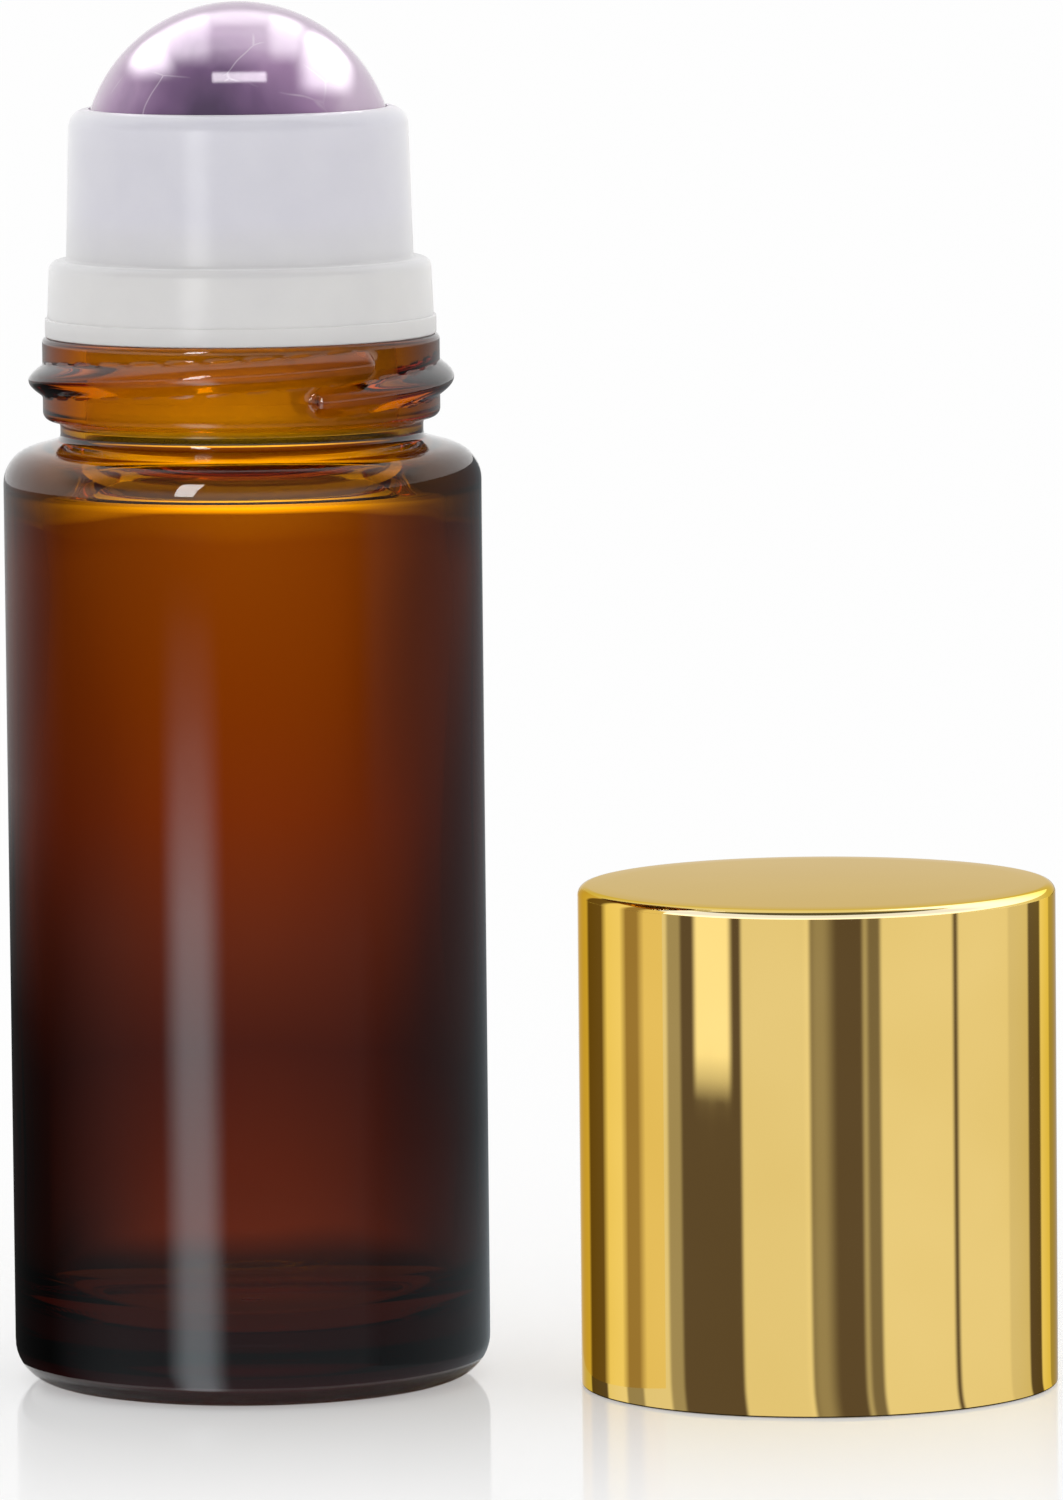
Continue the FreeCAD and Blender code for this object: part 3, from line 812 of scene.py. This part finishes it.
def paint_card(name, one_sided=False, adds=False, clear_edge=False, clear_ends=False):
    """A card that glows by its glow attribute, whose fourth number is how fast it dims to the sides. It may
    be clear from behind, clear all over, clear when it is seen edge on, or clear by its clear attribute."""
    paint = Paint(name)
    paint.tree.nodes.remove(paint.shader)
    glow = paint.node("ShaderNodeAttribute", attribute_name="glow")
    facing = paint.node("ShaderNodeLayerWeight").outputs["Facing"]
    strength = paint.math("POWER", paint.math("SUBTRACT", 1.0, facing), glow.outputs["Alpha"])
    emission = paint.node("ShaderNodeEmission", {"Color": glow.outputs["Color"], "Strength": strength})
    surface = emission.outputs["Emission"]
    clear = paint.node("ShaderNodeBsdfTransparent").outputs["BSDF"]
    gates = []
    if one_sided:
        gates.append(paint.node("ShaderNodeNewGeometry").outputs["Backfacing"])
    if clear_edge:
        gates.append(paint.math("GREATER_THAN", facing, EDGE_ON))
    if clear_ends:
        gates.append(paint.node("ShaderNodeAttribute", attribute_name="clear").outputs["Fac"])
    for gate in gates:
        surface = paint.layer(gate, surface, clear)
    if adds:
        surface = paint.node("ShaderNodeAddShader", {0: surface, 1: clear}).outputs["Shader"]
    paint.set(paint.output.inputs["Surface"], surface)
    paint.material.cycles.emission_sampling = "NONE"
    return paint.material


def make_card(name, points, closed, glow, material, place, dims=0.0, glossy=False, transmission=False):
    """A card from a grid of points, each with the colour of its glow, that shows only in mirrors or only
    through glass."""
    rows, count = points.shape[:2]
    across = count if closed else count - 1
    faces = []
    for row in range(rows - 1):
        lower, upper = row * count, (row + 1) * count
        for here in range(across):
            after = (here + 1) % count
            faces.append([lower + here, lower + after, upper + after, upper + here])
    card = make_object(name, points.reshape(-1, 3), faces, material, place)
    dims = np.broadcast_to(dims, (rows, count))[..., None]
    colours = np.concatenate([np.broadcast_to(glow, points.shape), dims], -1)
    attribute = card.data.attributes.new("glow", "FLOAT_COLOR", "POINT")
    attribute.data.foreach_set("color", colours.astype(np.float32).ravel())
    card.visible_camera = False
    card.visible_diffuse = False
    card.visible_shadow = False
    card.visible_volume_scatter = False
    card.visible_glossy = glossy
    card.visible_transmission = transmission
    return card


def sky(lifts, turns):
    """Unit ways by elevation and by azimuth from the camera's side towards +X, in degrees."""
    lift, turn = np.radians(lifts)[:, None], np.radians(turns)[None, :]
    level = np.cos(lift)
    return np.stack([level * np.sin(turn), -level * np.cos(turn), np.sin(lift) + 0 * turn], -1)


def flat_ring(radii):
    """Points of a flat ring that faces up, by radius and by azimuth."""
    return np.asarray(radii)[:, None, None] * sky([0], AZIMUTHS)


def show_only_on(shown, piece):
    """Lets a card or a lamp reach this piece alone."""
    group = bpy.data.collections.new(shown.name)
    group.objects.link(piece)
    shown.light_linking.receiver_collection = group


# Dark card on the floor that only glossy pieces mirror, a painted dark reflection near them: reach, and
# brightness towards the camera and away from it
MAT_GLOW = [
    (20, 0.02, 0.02),
    (250, 0.02, 0.03),
    (360, 0.02, 0.1),
    (460, 0.02, 0.25),
    (700, 0.02, 0.33),
    (1400, 0.04, 0.4),
    (2000, 1.0, 1.0),
]
MAT_TURN_FADE = (90, 150)


def make_dark_mat():
    radii, front, back = np.array(MAT_GLOW).T
    share = fade(np.abs(AZIMUTHS), *MAT_TURN_FADE)
    levels = np.outer(front, 1 - share) + np.outer(back, share)
    glow = levels[..., None] * NEUTRAL
    material = paint_card("dark_mat", one_sided=True)
    make_card("dark_mat", flat_ring(radii), True, glow, material, (0, 0, MAT_LEVEL), glossy=True)


# Round card close about the bottle, seen through glass alone, whose glow is painted light and shade for what
# shows through the
# glass: dark low down, amber on the body and bright behind the neck. By height: the glow's red, green and
# blue, and how fast it dims to the sides
SLEEVE_GLOW = [
    (0, 0.04, 0.02, 0.01, 4),
    (4, 0.06, 0.02, 0.0, 4),
    (9, 0.15, 0.04, 0.0, 4),
    (24, 0.08, 0.018, 0.0, 4),
    (44, 0.25, 0.08, 0.0, 3.2),
    (66, 0.33, 0.155, 0.0, 3),
    (69.5, 0.33, 0.155, 0.0, 4),
    (70.5, 1.6, 1.3, 0.9, 9),
    (72, 2.2, 2.1, 1.9, 9),
    (88, 2.2, 2.2, 2.2, 9),
]
SLEEVE_RADIUS = 25.5
SLEEVE_HOLE = 1.0
SLEEVE_STEP = 0.5
# Painted shade on that card: how much darker it is to the right, and to the left low down, how far up the
# latter goes, and over what share of the radius both set in
RIGHT_SHADE = 0.5
LEFT_SHADE = 0.88
LEFT_SHADE_TOP = 55.0
SIDE_FADE = (0.3, 0.9)


def make_sleeve():
    heights, *channels = np.array(SLEEVE_GLOW).T
    rows = np.arange(heights[0], heights[-1] + SLEEVE_STEP / 2, SLEEVE_STEP)
    *level, dims = [np.interp(rows, heights, channel) for channel in channels]
    level = np.stack(level, -1)
    wall = flat_ring(np.full(len(rows), SLEEVE_RADIUS))
    wall[..., 2] = rows[:, None]
    aside = np.sin(np.radians(AZIMUTHS))[None, :]
    low_down = fade(-rows, -LEFT_SHADE_TOP, 0)[:, None]
    right = RIGHT_SHADE * fade(aside, *SIDE_FADE)
    left = LEFT_SHADE * low_down * fade(-aside, *SIDE_FADE)
    glow = level[:, None, :] * ((1 - right) * (1 - left))[..., None]
    place = (0, 0, SLEEVE_LEVEL)
    make_card("sleeve", wall, True, glow, paint_card("sleeve"), place, dims[:, None], transmission=True)
    floor = flat_ring([SLEEVE_HOLE, SLEEVE_RADIUS])
    make_card("sleeve_floor", floor, True, level[0], paint_card("sleeve_floor"), place, transmission=True)


# A band of light: where it shows on the piece, in degrees round it from the camera's side, its brightness,
# how soft its edges are, and its strength by how many radii out it lies
Band = namedtuple("Band", "low high level soft reach", defaults=(0.7, ((1, 1),)))
CAP_BANDS = [
    Band(-95, -74.6, 0.8),
    Band(-64.2, -55.4, 0.9),
    Band(-55.4, -49, 0.25),
    Band(-49, -40, 0.8),
    Band(-40, -36, 0.3),
    Band(-32, -22.6, 1.1, 1.0, ((10.5, 0), (12, 1))),
    Band(-19.8, -3.2, 0.82),
    Band(-3.2, 1.7, 0.25, 2.0),
    Band(9.5, 10.7, 0.4),
    Band(10.7, 13.9, 0.1),
    Band(13.9, 33.0, 0.85),
    Band(34.4, 51.3, 0.85),
    Band(51.3, 60.1, 0.7),
    Band(66.9, 73.7, 1.0),
    Band(73.7, 95, 0.45),
]
CAP_BASE = 0.09
BOTTLE_BANDS = [
    Band(-18.5, -8.5, 2.4, 3.5, ((18, 1), (24, 0.5), (30, 0.15), (38, 0))),
    Band(-45, 95, 0.16, 15.0, ((1, 2), (3, 1.7), (8, 1), (17, 1), (23, 0.3), (30, 0))),
]
BAND_COLUMNS = np.linspace(-90, 90, 721)
BAND_RADII = np.geomspace(1, 40, 48)
WARM = np.array((1.25, 0.95, 1.0))
COOL = np.array((0.9, 1.0, 1.06))


def ring_of_bands(name, receiver, radius, level_up, bands, base=np.zeros(3), tint=NEUTRAL):
    """Lays bands of light on the floor round an upright piece, which only that piece mirrors, bent so that
    they show straight and upright on it."""
    shown = np.radians(BAND_COLUMNS)
    falls_at = 2 * shown - np.arcsin(np.sin(shown) / BAND_RADII[:, None])
    out = radius * BAND_RADII[:, None]
    spots = np.stack([out * np.sin(falls_at), -out * np.cos(falls_at), 0 * falls_at], -1)
    level = np.zeros(falls_at.shape)
    for band in bands:
        inside = between(BAND_COLUMNS, band.low, band.high, band.soft)
        level += band.level * np.outer(np.interp(BAND_RADII, *np.array(band.reach).T), inside)
    place = (*(receiver.location / MM).xy, level_up)
    glow = level[..., None] * tint + base
    ring = make_card(name, spots, False, glow, paint_card(name, adds=True), place, glossy=True)
    show_only_on(ring, receiver)


# Cards between the bottle and the cap, so that neither mirrors the other, whose glow is a painted reflection
# on each in its place: how far along, glow, and how clear
CAP_SIDE_GLOW = [
    (-23, 0.85, 0),
    (-19.6, 0.85, 0),
    (-18.2, 0.33, 0),
    (-16.2, 0.33, 0),
    (-14.9, 1.0, 0),
    (-12.1, 1.0, 0),
    (-10.6, 0.15, 0),
    (-6, 0.15, 0),
    (-4.6, 0.8, 0),
    (8, 0.78, 0),
    (24, 0.75, 1),
]
CAP_SIDE_HEIGHT = 46.0
CAP_SIDE_TINT = np.array((1.1, 1.0, 0.65))
# What the darker parts of that painted reflection lean to
CAP_SIDE_SHADE = np.array((1.25, 0.82, 0.35))
BOTTLE_SIDE_GLOW = [(-27, 0.1, 1), (-22, 0.12, 0), (-8, 0.16, 0), (20, 0.18, 0), (32, 0.18, 1)]
BOTTLE_SIDE_HEIGHT = 77.0
# How much brighter the cards are at the foot, and how far up that fades
FOOT_BOOST = 1.8
FOOT_REACH = 20.0


def make_divider(name, stops, height, shade, tint, towards, boost=1.0):
    along, level, clear = np.array(stops)[::towards].T
    middle = (body_radius + cap_centre.x - cap_radius) / 2
    rows = np.array([CAP_RING_LEVEL, FOOT_REACH, height])
    spots = np.array([[(towards * SEAT_GAP, y, z) for y in along] for z in rows])
    share = np.clip(level, 0, 1)[:, None]
    glow = level[:, None] * (shade + (tint - shade) * share) * np.array([boost, 1, 1])[:, None, None]
    material = paint_card(name, one_sided=True, clear_edge=True, clear_ends=True)
    card = make_card(name, spots, False, glow, material, (middle, 0, 0), glossy=True)
    attribute = card.data.attributes.new("clear", "FLOAT", "POINT")
    attribute.data.foreach_set("value", np.tile(clear, len(rows)).astype(np.float32))


def make_dividers():
    make_divider("cap_side_card", CAP_SIDE_GLOW, CAP_SIDE_HEIGHT, CAP_SIDE_SHADE, CAP_SIDE_TINT, 1)
    make_divider("bottle_side_card", BOTTLE_SIDE_GLOW, BOTTLE_SIDE_HEIGHT, COOL, COOL, -1, FOOT_BOOST)


# Light all round the front that the rounded edge of the cap's top mirrors as a white line
RIM_LIGHT_TURNS = np.arange(-116, 161, 4)
RIM_LIGHT_HEIGHTS = np.array([250.0, 2200.0])
RIM_LIGHT_RADIUS = 900.0
RIM_LIGHT_GLOW = np.array((1.0, 1.2, 2.8))


def make_rim_light(shell):
    spots = np.repeat(RIM_LIGHT_RADIUS * sky([0], RIM_LIGHT_TURNS), len(RIM_LIGHT_HEIGHTS), 0)
    spots[..., 2] = RIM_LIGHT_HEIGHTS[:, None]
    material = paint_card("rim_light", adds=True)
    card = make_card("rim_light", spots, False, RIM_LIGHT_GLOW, material, cap_place, glossy=True)
    show_only_on(card, shell)


# Dark dome over the front, so that what faces up and forward mirrors little: how dark, and where it fades
DOME_DARK = 0.88
DOME_REACH = 1600.0
DOME_TURNS = np.arange(110, -111, -5)
DOME_LIFTS = np.arange(8, 91, 2)
DOME_LIFT_FADE = (12, 30)
DOME_TURN_FADE = (-110, -80)


def make_dark_dome():
    dark = np.outer(fade(DOME_LIFTS, *DOME_LIFT_FADE), fade(-np.abs(DOME_TURNS), *DOME_TURN_FADE))
    glow = (1 - DOME_DARK * dark)[..., None] * NEUTRAL
    spots = sky(DOME_LIFTS, DOME_TURNS) * DOME_REACH
    make_card("dark_dome", spots, False, glow, paint_card("dark_dome"), (0, 0, 0), glossy=True)


# Window panes that the ball mirrors: their sides, by where they show on it in its radii, and brightness
Pane = namedtuple("Pane", "left right low high level soft", defaults=(0.05,))
PANES = [
    Pane(-0.52, -0.16, 0.62, 0.95, 7.0, 0.07),
    Pane(-0.66, -0.42, 0.54, 0.80, 12.0, 0.07),
    Pane(-0.20, 0.22, 0.82, 0.95, 4.0),
    Pane(-0.20, 0.22, 0.62, 0.84, 3.0, 0.08),
    Pane(0.19, 0.42, 0.63, 0.95, 7.0, 0.07),
    Pane(0.41, 0.70, 0.42, 0.78, 11.5, 0.07),
    Pane(-0.16, 0.18, 0.475, 0.535, 13.0, 0.012),
]
PANE_RIM = 0.93
PANE_RIM_SOFT = 0.03
PANE_TINT = np.array((1.0, 0.93, 1.0))
PANE_REACH = 500.0
PANE_LIFTS = np.arange(-30, 91)


def make_ball_panes(ball):
    """A dome of soft window panes round the ball, which only the ball mirrors."""
    ways = sky(PANE_LIFTS, AZIMUTHS)
    sight = unit(np.array((0, 0, ball_height)) - np.array(EYE))
    right = unit(np.cross(sight, (0, 0, 1)))
    up = np.cross(right, sight)
    facing = ways - sight
    facing = facing / np.linalg.norm(facing, axis=-1, keepdims=True)
    across, over = facing @ right, facing @ up
    level = 0 * across
    for pane in PANES:
        inside = between(across, pane.left, pane.right, pane.soft)
        inside = inside * between(over, pane.low, pane.high, pane.soft)
        level = np.maximum(level, pane.level * inside)
    level = level * fade(-np.hypot(across, over), -PANE_RIM - PANE_RIM_SOFT, PANE_RIM_SOFT - PANE_RIM)
    glow = level[..., None] * PANE_TINT
    material = paint_card("ball_panes", adds=True)
    place = (0, 0, ball_height)
    dome = make_card("ball_panes", ways * PANE_REACH, True, glow, material, place, glossy=True)
    show_only_on(dome, ball)


# Soft boxes: their sides, where they stand as seen from the ball, and their brightness as radiance
Box = namedtuple("Box", "sides azimuth elevation distance radiance")
BOTTLE_BOX = Box((200, 800), -28, 25, 1200, 12.0)
HOUSING_BOX = Box((300, 800), -28, 5, 1200, 1.7)


def make_box(name, box, piece):
    """A soft box that faces the ball, for the gloss of one piece alone."""
    light = bpy.data.lights.new(name, "AREA")
    light.shape = "RECTANGLE"
    light.size, light.size_y = (side * MM for side in box.sides)
    light.energy = box.radiance * math.pi * light.size * light.size_y
    made = bpy.data.objects.new(name, light)
    way = Vector(sky([box.elevation], [box.azimuth])[0, 0])
    made.location = (Vector((0, 0, ball_height)) + way * box.distance) * MM
    made.rotation_euler = way.to_track_quat("Z", "Y").to_euler()
    made.visible_camera = False
    made.visible_diffuse = False
    bpy.context.scene.collection.objects.link(made)
    show_only_on(made, piece)


def make_lights(bottle, housing):
    """White all round, and soft boxes that show in what is glossy."""
    make_box("bottle_box", BOTTLE_BOX, bottle)
    make_box("housing_box", HOUSING_BOX, housing)
    world = bpy.data.worlds.new("studio")
    world.use_nodes = True
    background = world.node_tree.nodes["Background"]
    background.inputs["Color"].default_value = WHITE
    background.inputs["Strength"].default_value = 1.0
    bpy.context.scene.world = world


def make_camera():
    forward = Vector((math.sin(YAW) * math.cos(PITCH), math.cos(YAW) * math.cos(PITCH), -math.sin(PITCH)))
    right = Vector((math.cos(YAW), -math.sin(YAW), 0))
    up = right.cross(forward)
    turn = Matrix((right, up, -forward)).transposed().to_4x4()
    lens = bpy.data.cameras.new("camera")
    lens.lens = FOCAL_LENGTH
    lens.sensor_width = SENSOR
    lens.clip_end = SIGHT_REACH * MM
    camera = bpy.data.objects.new("camera", lens)
    camera.matrix_world = Matrix.Translation(Vector(EYE) * MM) @ turn @ Matrix.Rotation(ROLL, 4, "Z")
    bpy.context.scene.collection.objects.link(camera)
    bpy.context.scene.camera = camera


bottle = make_glass_bottle()
housing = make_ball_housing()
ball = make_roller_ball()
make_ball_veils()
shell = make_cap_shell()
make_cap_insert()
make_cap_liner()

make_floor()
make_dark_mat()
make_sleeve()
make_dividers()
make_dark_dome()
make_ball_panes(ball)
ring_of_bands("cap_bands", shell, cap_radius, CAP_RING_LEVEL, CAP_BANDS, base=CAP_BASE * WARM)
ring_of_bands("bottle_bands", bottle, body_radius, BOTTLE_RING_LEVEL, BOTTLE_BANDS, tint=COOL)
make_rim_light(shell)
make_lights(bottle, housing)
make_camera()
bpy.context.scene.view_settings.view_transform = "Standard"
